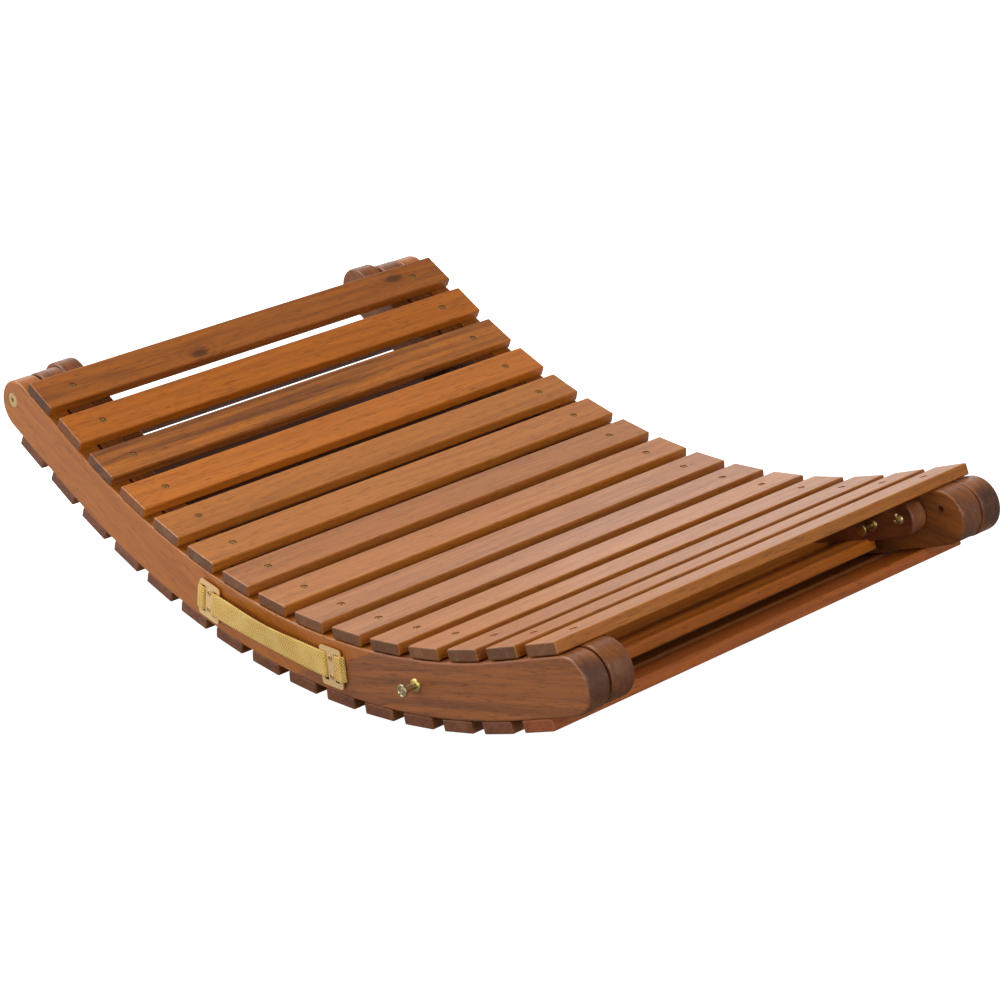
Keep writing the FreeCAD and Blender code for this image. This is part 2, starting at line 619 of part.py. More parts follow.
# Headrest: two bent bars pivoted on the back rails near their free end. Its slats are let into
# stopped housings in the bars' lower edge, which turns uppermost when the headrest swings out.
headrest_top = dim.headrest_pivot_depth - dim.headrest_depth / 2
headrest_bottom = dim.headrest_pivot_depth + dim.headrest_depth / 2
headrest_face = headrest_bottom - dim.headrest_slat_inset + dim.slat_thickness
headrest_slat_places = []
for index in range(HEADREST_SLAT_COUNT):
    reach = dim.headrest_first_slat + index * dim.headrest_slat_pitch
    distance = bend_end(headrest_face) + dim.headrest_run - reach
    headrest_slat_places.append(station(distance, headrest_face, headrest_face))

for side, name in SIDES:
    far_end = pivot_distance - dim.headrest_length
    bar_edges = bar_outline(headrest_top, headrest_bottom, far_end, pivot_distance)
    bar = board(f"headrest_bar_{name}", bar_edges, "bar_thickness", "rail_rounding")
    drill(bar, [(pivot_x, pivot_z)], "pivot_shoulder", "running_clearance")
    drill(bar, [headrest_pin_place(pin_angle_folded)], "bush_barrel", "running_clearance")
    housing = new_sketch(bar, "XZ_Plane", side * dim.bar_thickness / 2)
    for x, z, slope in headrest_slat_places:
        lean = math.radians(slope)
        middle = dim.slat_thickness / 2
        draw_loop(housing, polygon(turned_box(
            x - middle * math.sin(lean), z + middle * math.cos(lean),
            dim.slat_width + 2 * dim.running_clearance, dim.slat_thickness + 2 * dim.running_clearance, slope)))
    pocket(bar, housing, -side, "sizes.headrest_slat_lap + sizes.running_clearance")
    keep(bar, placed(0, side * bar_plane, 0))

for index, (x, z, slope) in enumerate(headrest_slat_places, start=1):
    headrest_slat = slat(f"headrest_slat_{index}", f"2 * ({bar_inner} + sizes.headrest_slat_lap)", None)
    keep(headrest_slat, placed(x, 0, z, 180 - slope))

# Headrest pivots: shoulder screws with round heads, from inside through the bar into the rail.
shoulder = dim.bar_thickness + dim.bar_gap
pivot_screw = turned_body("pivot_screw", (
    (0, -dim.pivot_head_height),
    (dim.pivot_shoulder / 2, -dim.pivot_head_height),
    (dim.pivot_head / 2, -dim.pivot_head_height / 2),
    (dim.pivot_head / 2, 0),
    (dim.pivot_shoulder / 2, 0),
    (dim.pivot_shoulder / 2, shoulder),
    (dim.pivot_thread / 2, shoulder),
    (dim.pivot_thread / 2, shoulder + dim.pivot_grip),
    (0, shoulder + dim.pivot_grip),
), ((2, "pivot_head"), (4, "pivot_shoulder"), (6, "pivot_thread")))
doc.recompute()
keep(group("headrest_pivot_screws", pivot_screw,
           [across(pivot_x, bar_inner, pivot_z, side) for side, _ in SIDES]))


# Lock pins: round pins with a disc head that slide in flanged bushes. They are drawn out here, with
# their tips just inside the wood, and slide home into the back rails.
def lock_pin(label, wood):
    tip = -wood + dim.pin_margin
    neck = dim.bush_flange_height + dim.pin_travel + dim.pin_margin
    return turned_body(label, (
        (0, tip),
        (dim.pin_shank / 2 - dim.pin_margin, tip),
        (dim.pin_shank / 2, tip + dim.pin_margin),
        (dim.pin_shank / 2, neck),
        (dim.pin_head / 2, neck),
        (dim.pin_head / 2, neck + dim.pin_head_height),
        (0, neck + dim.pin_head_height),
    ), ((2, "pin_shank"), (4, "pin_head")))


def pin_bush(label, wood):
    bore = dim.pin_shank / 2 + dim.running_clearance
    return turned_body(label, (
        (bore, -wood + dim.pin_margin),
        (dim.bush_barrel / 2, -wood + dim.pin_margin),
        (dim.bush_barrel / 2, 0),
        (dim.bush_flange / 2, 0),
        (dim.bush_flange / 2, dim.bush_flange_height),
        (bore, dim.bush_flange_height),
    ), ((1, "bush_barrel"), (3, "bush_flange")))


frame_bush = pin_bush("frame_bush", dim.leg_rail_thickness)
headrest_bush = pin_bush("headrest_bush", dim.bar_thickness)
doc.recompute()
pin_x, pin_z = headrest_pin_place(pin_angle_folded)
frame_pin_seats = {side: across(frame_pin_x, leg_rail_outer, frame_pin_z, side) for side, _ in SIDES}
headrest_pin_seats = {side: across(pin_x, bar_inner, pin_z, side).multiply(
    Placement(Vector(), Rotation(Vector(1, 0, 0), 180))) for side, _ in SIDES}
keep(group("frame_pin_bushes", frame_bush, frame_pin_seats.values()))
keep(group("headrest_pin_bushes", headrest_bush, headrest_pin_seats.values()))
for side, name in SIDES:
    keep(lock_pin(f"frame_lock_pin_{name}", dim.leg_rail_thickness), frame_pin_seats[side])
    keep(lock_pin(f"headrest_lock_pin_{name}", dim.bar_thickness), headrest_pin_seats[side])

# Strap brackets: flat plates with two slots, screwed through the strap to the near outer rail.
bracket_lift = dim.strap_thickness + 2 * dim.strap_slack
bracket_width = dim.bracket_centre_bar + 2 * dim.bracket_slot + 2 * dim.bracket_outer_bar
bracket = new_body("strap_bracket")
plate = new_sketch(bracket, "XZ_Plane")
half_width = bracket_width / 2
half_height = dim.bracket_height / 2
draw_loop(plate, polygon([flat(-half_width, -half_height), flat(half_width, -half_height),
                          flat(half_width, half_height), flat(-half_width, half_height)]))
slot_middle = (dim.bracket_centre_bar + dim.bracket_slot) / 2
for half in (-1, 1):
    draw_loop(plate, polygon(turned_box(half * slot_middle, 0, dim.bracket_slot, dim.bracket_slot_height, 0)))
    draw_circle(plate, 0, half * dim.bracket_screw_spread / 2, "bracket_screw_shank", "running_clearance")
plate_pad = pad(bracket, plate, "sizes.bracket_plate")
doc.recompute()
corners = [f"Edge{number}" for number, edge in enumerate(plate_pad.Shape.Edges, start=1)
           if edge.BoundBox.YLength > dim.bracket_plate / 2
           and abs(edge.CenterOfMass.x) > half_width - 0.1
           and abs(edge.CenterOfMass.z) > half_height - 0.1]
round_edges(bracket, plate_pad, corners, "bracket_corner")
doc.recompute()
plate_plane = -(leg_rail_outer + bracket_lift + dim.bracket_plate / 2)
keep(group("strap_brackets", bracket, [placed(x, plate_plane, z, -slope) for x, z, slope in bracket_places]))

bracket_screw = turned_body("bracket_screw", (
    (0, -dim.bracket_screw_length),
    (dim.bracket_screw_shank / 2, -dim.bracket_screw_length),
    (dim.bracket_screw_shank / 2, 0),
    (dim.bracket_screw_head / 2, 0),
    (dim.bracket_screw_shank / 2, dim.bracket_screw_head_height),
    (0, dim.bracket_screw_head_height),
), ((1, "bracket_screw_shank"), (3, "bracket_screw_head")))
doc.recompute()
screw_seat = leg_rail_outer + bracket_lift + dim.bracket_plate
keep(group("bracket_screws", bracket_screw,
           [across(x, screw_seat, z, NEAR) for x, z in bracket_screw_places]))

# Carrying strap: one length of webbing. In each bracket it dips through the slots under the middle
# bar, and between the brackets it bows out from the rail. Its plan is a chain of lines and tangent
# arcs, given thickness to both sides, and its edges follow the bend of the rail.
flat_level = leg_rail_outer + dim.strap_slack + dim.strap_thickness / 2
over_level = screw_seat + dim.strap_slack + dim.strap_thickness / 2
dip = over_level - flat_level
dip_radius = (dim.bracket_slot ** 2 + dip ** 2) / (4 * dip)
dip_angle = math.degrees(math.asin(dim.bracket_slot / (2 * dip_radius)))
bracket_x = bracket_places[1][0]
span = bracket_x - half_width
bow_angle = 2 * math.degrees(math.atan(dim.strap_bow / span))
bow_radius = span / math.sin(math.radians(bow_angle)) - dim.strap_end_bend

# Each step is a straight length, or a radius and a turn: positive turns away from the rail.
half_strap = (
    ("arc", bow_radius, -bow_angle),
    ("arc", dim.strap_end_bend, bow_angle),
    ("line", dim.bracket_outer_bar),
    ("arc", dip_radius, -dip_angle),
    ("arc", dip_radius, dip_angle),
    ("line", dim.bracket_centre_bar),
    ("arc", dip_radius, dip_angle),
    ("arc", dip_radius, -dip_angle),
    ("line", dim.bracket_outer_bar),
)


def strap_side(offset):
    """Edges of one face of the strap in plan, from its middle to its +X end."""
    x = 0.0
    out = over_level + dim.strap_bow
    heading = 0.0
    edges = []
    for step in half_strap:
        turn = 0.0 if step[0] == "line" else math.radians(step[2])
        start = Vector(x - offset * math.sin(heading), -out - offset * math.cos(heading), 0)
        if step[0] == "line":
            x += step[1] * math.cos(heading)
            out += step[1] * math.sin(heading)
        else:
            bend_side = math.copysign(1, turn)
            centre_x = x - bend_side * step[1] * math.sin(heading)
            centre_out = out + bend_side * step[1] * math.cos(heading)
            middle = heading + turn / 2
            reach = step[1] - bend_side * offset
            half_way = Vector(centre_x + bend_side * reach * math.sin(middle),
                              -(centre_out - bend_side * reach * math.cos(middle)), 0)
            heading += turn
            x = centre_x + bend_side * step[1] * math.sin(heading)
            out = centre_out - bend_side * step[1] * math.cos(heading)
        end = Vector(x - offset * math.sin(heading), -out - offset * math.cos(heading), 0)
        edges.append(Part.LineSegment(start, end) if step[0] == "line" else Part.Arc(start, half_way, end))
    return edges


def mirrored(edges):
    """The same edges on the -X side, running back towards the middle."""
    result = []
    for edge in reversed(edges):
        start, end = (Vector(-point.x, point.y, 0) for point in (edge.EndPoint, edge.StartPoint))
        if isinstance(edge, Part.LineSegment):
            result.append(Part.LineSegment(start, end))
        else:
            middle = edge.value((edge.FirstParameter + edge.LastParameter) / 2)
            result.append(Part.Arc(start, Vector(-middle.x, middle.y, 0), end))
    return result


strap = new_body("carry_strap")
plan = new_sketch(strap, "XY_Plane")
outer_face = mirrored(strap_side(dim.strap_thickness / 2)) + strap_side(dim.strap_thickness / 2)
inner_face = mirrored(strap_side(-dim.strap_thickness / 2)) + strap_side(-dim.strap_thickness / 2)
end_cap = Part.LineSegment(outer_face[-1].EndPoint, inner_face[-1].EndPoint)
start_cap = Part.LineSegment(inner_face[0].StartPoint, outer_face[0].StartPoint)
back_edges = [edge for edge in reversed(inner_face)]
draw_loop(plan, outer_face + [end_cap] + back_edges + [start_cap])
strap_line = dim.seat_radius + leg_rail_middle
pad(strap, plan, "4 * sizes.bracket_height")
edge_cut = new_sketch(strap, "XZ_Plane")
reach = 2 * dim.bracket_spread
draw_loop(edge_cut, polygon([flat(-reach, -reach), flat(reach, -reach), flat(reach, reach), flat(-reach, reach)]))
limit = math.asin((bracket_x + bracket_width) / strap_line)


def on_strap(radius, angle):
    return flat(radius * math.sin(angle), strap_line - radius * math.cos(angle))


top_radius = strap_line - dim.strap_width / 2
low_radius = strap_line + dim.strap_width / 2
draw_loop(edge_cut, [
    Part.Arc(on_strap(low_radius, -limit), on_strap(low_radius, 0), on_strap(low_radius, limit)),
    Part.LineSegment(on_strap(low_radius, limit), on_strap(top_radius, limit)),
    Part.Arc(on_strap(top_radius, limit), on_strap(top_radius, 0), on_strap(top_radius, -limit)),
    Part.LineSegment(on_strap(top_radius, -limit), on_strap(low_radius, -limit)),
])
pocket(strap, edge_cut)
strap_holes = [(x, z + strap_line) for x, z in bracket_screw_places]
drill(strap, strap_holes, "bracket_screw_shank", "strap_slack")
keep(strap, placed(0, 0, -strap_line))

doc.recompute()
for item in doc.Objects:
    if {"Invalid", "Error"} & set(item.State):
        raise RuntimeError(f"{item.Label} failed: {item.State}")
os.makedirs("parts", exist_ok=True)
for node in nodes:
    if node.Shape.isNull() or not node.Shape.isValid() or not node.Shape.Solids:
        raise RuntimeError(f"{node.Label} has no valid solid")
    node.Shape.exportStep(f"parts/{node.Label}.step")
print(f"{len(nodes)} nodes")
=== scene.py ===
import bmesh
import bpy
import numpy as np
from mathutils import Matrix, Quaternion, Vector


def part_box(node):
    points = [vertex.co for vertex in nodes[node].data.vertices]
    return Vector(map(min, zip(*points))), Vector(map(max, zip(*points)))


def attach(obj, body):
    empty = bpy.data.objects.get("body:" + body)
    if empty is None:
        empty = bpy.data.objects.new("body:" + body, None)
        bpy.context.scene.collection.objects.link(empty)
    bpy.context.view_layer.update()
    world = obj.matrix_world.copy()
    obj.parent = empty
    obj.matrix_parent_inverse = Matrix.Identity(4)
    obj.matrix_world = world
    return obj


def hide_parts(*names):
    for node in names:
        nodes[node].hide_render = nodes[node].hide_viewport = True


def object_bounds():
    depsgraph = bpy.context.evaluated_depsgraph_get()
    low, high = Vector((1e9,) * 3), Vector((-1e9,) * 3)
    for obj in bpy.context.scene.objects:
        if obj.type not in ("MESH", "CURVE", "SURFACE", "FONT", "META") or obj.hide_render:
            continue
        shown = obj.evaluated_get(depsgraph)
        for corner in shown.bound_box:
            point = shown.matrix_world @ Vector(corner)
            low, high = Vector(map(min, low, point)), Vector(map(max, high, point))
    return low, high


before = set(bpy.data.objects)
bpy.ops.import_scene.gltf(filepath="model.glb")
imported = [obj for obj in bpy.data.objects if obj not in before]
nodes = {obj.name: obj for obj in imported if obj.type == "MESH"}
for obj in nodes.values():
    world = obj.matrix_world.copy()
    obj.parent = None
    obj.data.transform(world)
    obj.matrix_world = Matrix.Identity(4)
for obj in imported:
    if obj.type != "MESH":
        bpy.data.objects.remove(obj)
cad_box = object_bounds()


# Inner rails. Two bent planks of oiled hardwood carry the slats of the sitting surface. The grain
# runs straight along each plank, so the half-round ends show darker, greyer end grain.
def add(tree, kind, inputs=None, **settings):
    """Add a shader node: inputs are values or other nodes' sockets, by socket name or number."""
    made = tree.nodes.new(kind)
    for key, value in settings.items():
        setattr(made, key, value)
    for key, value in (inputs or {}).items():
        if isinstance(value, bpy.types.NodeSocket):
            tree.links.new(value, made.inputs[key])
        else:
            made.inputs[key].default_value = value
    return made


def new_group(name, inputs, outputs):
    """Empty shader node group with named sockets, and its input and output nodes."""
    group = bpy.data.node_groups.new(name, "ShaderNodeTree")
    for label, kind, value in inputs:
        socket = group.interface.new_socket(label, in_out="INPUT", socket_type=f"NodeSocket{kind}")
        socket.default_value = value
    for label, kind in outputs:
        group.interface.new_socket(label, in_out="OUTPUT", socket_type=f"NodeSocket{kind}")
    return group, group.nodes.new("NodeGroupInput"), group.nodes.new("NodeGroupOutput")


def new_material(name):
    """New material, with its node tree and its shader."""
    material = bpy.data.materials.new(name)
    material.use_nodes = True
    return material, material.node_tree, material.node_tree.nodes["Principled BSDF"]


def calculate(tree, operation, *values):
    """Value of one sum on sockets or numbers."""
    return add(tree, "ShaderNodeMath", dict(enumerate(values)), operation=operation).outputs[0]


def reckon(tree, operation, *values):
    """Outputs of one sum on vector sockets or triples."""
    return add(tree, "ShaderNodeVectorMath", dict(enumerate(values)), operation=operation).outputs


def stretched_noise(tree, vector, stretch, detail=2.0, roughness=0.5):
    """Noise from 0 to 1 whose cells are 1/stretch metres along each axis of the vector."""
    scaled = reckon(tree, "MULTIPLY", vector, stretch)[0]
    return add(tree, "ShaderNodeTexNoise", {"Vector": scaled, "Scale": 1.0, "Detail": detail,
                                            "Roughness": roughness}).outputs[0]


def ramp(tree, value, low, high, to_low=0.0, to_high=1.0):
    """Smooth step of a value: to_low where it is low, to_high where it is high."""
    return add(tree, "ShaderNodeMapRange", {"Value": value, "From Min": low, "From Max": high,
                                            "To Min": to_low, "To Max": to_high},
               interpolation_type="SMOOTHSTEP").outputs[0]


def mixed(tree, factor, one, two, blend="MIX"):
    """Mix of two colours."""
    return add(tree, "ShaderNodeMix", {0: factor, 6: one, 7: two}, data_type="RGBA",
               blend_type=blend).outputs[2]


BLACK = (0.0, 0.0, 0.0, 1)
NO_KNOT = (9.0, 9.0, 9.0)
KNOT_OVAL = (0.5, 1.0, 0.0)
KNOT_HEART = (0.0015, 0.008)
KNOT_REACH = 0.022
KNOT_SWERVE = 0.016
RING_WANDER = 0.035
WANDER_GRAIN = (2.2, 14.0, 14.0)
STREAK_GRAIN = (1.6, 75.0, 75.0)
FIBRE_GRAIN = (17.0, 560.0, 560.0)
PORE_GRAIN = (60.0, 850.0, 850.0)


def hardwood_figure():
    """Figure of a board sawn from a log: x runs along the grain, y across the board, z through it.

    Growth rings are circles about the pith, the line y = z = 0 of the log that Cut shifts the
    board from. A slow noise drawn out along the grain makes them wander, and they swerve round up
    to two knots. Broad streaks, fine fibres and short dark pores are noises drawn out along the
    grain at ever smaller scales.
    """
    group, given, result = new_group(
        "hardwood_figure",
        (("Board", "Vector", (0, 0, 0)), ("Cut", "Vector", (0, 0.05, 0.1)),
         ("Light", "Color", (0.3, 0.1, 0.02, 1)), ("Dark", "Color", (0.15, 0.05, 0.01, 1)),
         ("Ring Width", "Float", 0.007), ("Streaks", "Float", 0.5),
         ("Knot", "Vector", NO_KNOT), ("Second Knot", "Vector", NO_KNOT)),
        (("Color", "Color"), ("Fibre", "Float")))
    board = given.outputs["Board"]
    place = reckon(group, "ADD", board, given.outputs["Cut"])[0]
    from_knots = []
    for label in ("Knot", "Second Knot"):
        aside = reckon(group, "SUBTRACT", board, given.outputs[label])[0]
        aside = reckon(group, "MULTIPLY", aside, KNOT_OVAL)[0]
        from_knots.append(reckon(group, "LENGTH", aside)["Value"])
    knot = calculate(group, "MINIMUM", *from_knots)
    swerve = ramp(group, knot, 0.0, KNOT_REACH, 1.0, 0.0)
    heart = ramp(group, knot, *KNOT_HEART, 1.0, 0.0)

    across = reckon(group, "MULTIPLY", place, (0.0, 1.0, 1.0))[0]
    radius = reckon(group, "LENGTH", across)["Value"]
    wander = stretched_noise(group, place, WANDER_GRAIN)
    radius = calculate(group, "MULTIPLY_ADD", wander, RING_WANDER, radius)
    radius = calculate(group, "MULTIPLY_ADD", swerve, KNOT_SWERVE, radius)
    rings = calculate(group, "DIVIDE", radius, given.outputs["Ring Width"])
    year = calculate(group, "FRACT", rings)
    late_wood = calculate(group, "SUBTRACT", ramp(group, year, 0.1, 0.85),
                          ramp(group, year, 0.86, 1.0))
    broad = ramp(group, stretched_noise(group, place, STREAK_GRAIN, 3.0), 0.34, 0.68)
    fibre = stretched_noise(group, place, FIBRE_GRAIN, 3.0, 0.6)
    pores = ramp(group, stretched_noise(group, place, PORE_GRAIN, 1.0), 0.60, 0.70)

    depth = calculate(group, "MULTIPLY", broad, given.outputs["Streaks"])
    fine = calculate(group, "SUBTRACT", fibre, 0.5)
    for effect, weight in ((late_wood, 0.24), (fine, 1.5), (heart, 0.9), (swerve, 0.25)):
        depth = calculate(group, "MULTIPLY_ADD", effect, weight, depth)
    depth = add(group, "ShaderNodeClamp", {"Value": depth}).outputs[0]
    colour = mixed(group, depth, given.outputs["Light"], given.outputs["Dark"])
    pore_brown = mixed(group, 0.55, given.outputs["Dark"], BLACK)
    for effect, weight in ((pores, 0.6), (heart, 0.7)):
        colour = mixed(group, calculate(group, "MULTIPLY", effect, weight), colour, pore_brown)
    group.links.new(colour, result.inputs["Color"])
    group.links.new(fibre, result.inputs["Fibre"])
    return group


def dress(node, material):
    """Give a CAD piece its finish."""
    piece = nodes[node]
    piece.data.materials.clear()
    piece.data.materials.append(material)


def middle(node):
    """Middle of a CAD piece's box."""
    low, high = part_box(node)
    return (low + high) / 2


FIGURE = hardwood_figure()
END_TINT = (0.36, 0.36, 0.5)
END_FACING = (0.45, 0.92)
RUBBED = (0.30, 0.17, 0.10, 1)
RUB_CELLS = (48.0, 48.0, 48.0)
RUB_STRENGTH = 0.35
OIL_ROUGHNESS = 0.20
FIBRE_ROUGHNESS = 0.34
END_ROUGHNESS = 0.15
FIBRE_HEIGHT = 0.0004


def oiled_wood(node, grain, face, timber, cut, ring_width=0.007, streaks=0.5, end_tint=END_TINT,
               knots=()):
    """Finish one board in oiled hardwood.

    Grain is the direction of its length, face the normal of its broad side, timber its light and
    its dark tone, and cut its place in the log. Faces across the grain take the end tint, with
    paler rubbed patches. The oil leaves a satin gloss, a little duller on end grain.
    """
    light, dark = timber
    material, tree, surface = new_material(node)
    along = Vector(grain).normalized()
    through = Vector(face).normalized()
    turn = Matrix((along, through.cross(along), through)).transposed().to_euler()
    spot = add(tree, "ShaderNodeTexCoord")
    board = add(tree, "ShaderNodeMapping",
                {"Vector": spot.outputs["Object"], "Location": middle(node), "Rotation": turn},
                vector_type="TEXTURE")
    figure = add(tree, "ShaderNodeGroup", node_tree=FIGURE)
    for label, value in (("Cut", cut), ("Light", (*light, 1)), ("Dark", (*dark, 1)),
                         ("Ring Width", ring_width), ("Streaks", streaks),
                         *zip(("Knot", "Second Knot"), knots)):
        figure.inputs[label].default_value = value
    tree.links.new(board.outputs[0], figure.inputs["Board"])
    figured, fibre = figure.outputs["Color"], figure.outputs["Fibre"]
    facing = reckon(tree, "DOT_PRODUCT", spot.outputs["Normal"], along)["Value"]
    end_grain = ramp(tree, calculate(tree, "ABSOLUTE", facing), *END_FACING)
    colour = mixed(tree, end_grain, figured, mixed(tree, 1.0, figured, (*end_tint, 1), "MULTIPLY"))
    rubs = stretched_noise(tree, spot.outputs["Object"], RUB_CELLS, 5.0, 0.7)
    rubs = calculate(tree, "MULTIPLY", ramp(tree, rubs, 0.54, 0.72), end_grain)
    colour = mixed(tree, calculate(tree, "MULTIPLY", rubs, RUB_STRENGTH), colour, RUBBED)
    gloss = calculate(tree, "MULTIPLY_ADD", fibre, FIBRE_ROUGHNESS, OIL_ROUGHNESS)
    gloss = calculate(tree, "MULTIPLY_ADD", end_grain, END_ROUGHNESS, gloss)
    relief = add(tree, "ShaderNodeBump",
                 {"Strength": 0.45, "Distance": FIBRE_HEIGHT, "Height": fibre})
    tree.links.new(colour, surface.inputs["Base Color"])
    tree.links.new(gloss, surface.inputs["Roughness"])
    tree.links.new(relief.outputs[0], surface.inputs["Normal"])
    dress(node, material)


ACROSS = Vector((0, 1, 0))
RED_BROWN = ((0.235, 0.072, 0.014), (0.105, 0.030, 0.008))
RAIL_END = (0.72, 0.74, 1.0)
for number, side in enumerate(("near", "far")):
    oiled_wood(f"back_rail_{side}", (1, 0, 0), ACROSS, RED_BROWN, (number * 1.7, 0.03, 0.12),
               0.009, end_tint=RAIL_END)

# Slats of the sitting surface. Fifteen boards of one timber, screwed to the inner rails, each with
# its own figure: orange at the hinge, then honey brown, some of them streaked, rosy or knotty. The
# long edges are softly rounded and the ends sawn.
SLAT_COUNT = 15
KNOTTY = ((0.34, 0.096, 0.008), (0.15, 0.040, 0.004))
ORANGE = ((0.43, 0.119, 0.006), (0.24, 0.062, 0.004))
STREAKED = ((0.45, 0.138, 0.014), (0.15, 0.044, 0.007))
AMBER = ((0.48, 0.140, 0.010), (0.28, 0.076, 0.006))
HONEY = ((0.42, 0.138, 0.016), (0.25, 0.074, 0.010))
ROSY = ((0.39, 0.130, 0.022), (0.23, 0.072, 0.013))
BACK_TIMBER = (KNOTTY, ORANGE, STREAKED, AMBER, HONEY, HONEY, ROSY, HONEY, ROSY, ROSY,
               HONEY, HONEY, ROSY, HONEY, HONEY)
BACK_STREAKS = (0.4, 0.3, 0.8, 0.25, 0.3, 0.3, 0.35, 0.3, 0.35, 0.4, 0.3, 0.3, 0.35, 0.3, 0.3)
FIRST_SLAT_KNOTS = ((-0.083, -0.012, 0.0), (0.229, 0.006, 0.0))
GOLDEN_PART = 0.618


def slat_names(kind):
    """Names of the slats on one frame, from the hinge to the free end."""
    return [f"{kind}_slat_{number:02d}" for number in range(1, SLAT_COUNT + 1)]


def broad_face(node, side):
    """Normal of a board's broad side: its largest facet that looks up, or down for side -1."""
    facets = nodes[node].data.polygons
    normal = np.empty(3 * len(facets))
    facets.foreach_get("normal", normal)
    normal = normal.reshape(-1, 3)
    area = np.empty(len(facets))
    facets.foreach_get("area", area)
    return Vector(normal[np.argmax(area * (side * normal[:, 2] > 0.5))])


for number, node in enumerate(slat_names("back")):
    spread = number * GOLDEN_PART % 1
    oiled_wood(node, ACROSS, broad_face(node, 1), BACK_TIMBER[number],
               (number * 1.37, 0.02 + 0.05 * spread, 0.05 + 0.06 * spread),
               0.006 + 0.004 * spread, BACK_STREAKS[number],
               [(0.8 + 0.5 * spread) * tone for tone in END_TINT],
               FIRST_SLAT_KNOTS if number == 0 else ())

# Outer rails. Each is glued up from two planks with a long scarf: a smooth orange-brown plank at
# the hinge, and a walnut-brown one with a stronger figure towards the free end.
PLANK = ((0.385, 0.118, 0.011), (0.26, 0.073, 0.007))
WALNUT = ((0.30, 0.095, 0.022), (0.135, 0.043, 0.014))
for number, side in enumerate(("near", "far")):
    oiled_wood(f"leg_rail_{side}_hinge_half", (1, 0, -0.38), ACROSS, PLANK,
               (number * 2.3, 0.04, 0.15), 0.012, 0.35)
    oiled_wood(f"leg_rail_{side}_foot_half", (1, 0, 0.36), ACROSS, WALNUT,
               (number * 2.9 + 5, 0.05, 0.09), 0.009, 0.6)

# Slats of the underside. Boards like the upper ones, screwed to the outer rails from below, darker
# and redder but for the one at the free end, painted bright orange as painted light on its open
# side.
LEG_BROWN = ((0.27, 0.080, 0.012), (0.12, 0.034, 0.007))
# Bright orange for the last underside slat: painted light, for the light that falls on its open
# side at the free end.
LIT_LEG_ORANGE = ((0.43, 0.105, 0.008), (0.24, 0.056, 0.005))
LEG_END = (0.62, 0.58, 0.9)
for number, node in enumerate(slat_names("leg")):
    spread = number * GOLDEN_PART % 1
    oiled_wood(node, ACROSS, broad_face(node, -1),
               LIT_LEG_ORANGE if number == SLAT_COUNT - 1 else LEG_BROWN,
               (number * 1.91, 0.03 + 0.05 * spread, 0.06 + 0.05 * spread), 0.008,
               end_tint=LEG_END)


# Slat screws. Flat-headed wood screws with a cross recess, sunk below the broad side of each slat
# near both ends. Plain brass gone olive with oil.
def tarnish():
    """Two noises on object coordinates: broad cloudy dulling, and fine rubbing marks."""
    group, given, result = new_group(
        "tarnish", (("Spot", "Vector", (0, 0, 0)), ("Clean", "Color", (0.8, 0.6, 0.3, 1)),
                    ("Dull", "Color", (0.4, 0.28, 0.12, 1)), ("Amount", "Float", 0.5)),
        (("Color", "Color"), ("Roughness", "Float")))
    clouds = stretched_noise(group, given.outputs["Spot"], (160.0, 160.0, 160.0), 3.0)
    rubs = stretched_noise(group, given.outputs["Spot"], (900.0, 900.0, 900.0), 2.0)
    dulled = calculate(group, "MULTIPLY", ramp(group, clouds, 0.35, 0.7), given.outputs["Amount"])
    colour = mixed(group, dulled, given.outputs["Clean"], given.outputs["Dull"])
    rough = calculate(group, "MULTIPLY_ADD", dulled, 0.2, 0.22)
    rough = calculate(group, "MULTIPLY_ADD", rubs, 0.15, rough)
    group.links.new(colour, result.inputs["Color"])
    group.links.new(rough, result.inputs["Roughness"])
    return group


TARNISH = tarnish()


def brass(name, clean, dull, amount, metal=1.0):
    """Brass with a patchy dull skin, less of a mirror where it is lacquered."""
    material, tree, surface = new_material(name)
    surface.inputs["Metallic"].default_value = metal
    spot = add(tree, "ShaderNodeTexCoord")
    skin = add(tree, "ShaderNodeGroup", node_tree=TARNISH)
    for label, value in (("Clean", (*clean, 1)), ("Dull", (*dull, 1)), ("Amount", amount)):
        skin.inputs[label].default_value = value
    tree.links.new(spot.outputs["Object"], skin.inputs["Spot"])
    tree.links.new(skin.outputs["Color"], surface.inputs["Base Color"])
    tree.links.new(skin.outputs["Roughness"], surface.inputs["Roughness"])
    return material


def smooth(low, high, value):
    """Smooth step from 0 at low to 1 at high."""
    part = np.clip((value - low) / (high - low), 0, 1)
    return part * part * (3 - 2 * part)


def cross_recess(half_width, reach, depth):
    """Depth of a cross cut into a screw head, at x and y from its axis: the deeper of two bars."""
    def bar(aside, along):
        inside = 1 - smooth(0.7 * half_width, 1.3 * half_width, np.abs(aside))
        return inside * (1 - smooth(0.9 * reach, 1.1 * reach, np.abs(along)))
    return lambda x, y: depth * np.maximum(bar(x, y), bar(y, x))


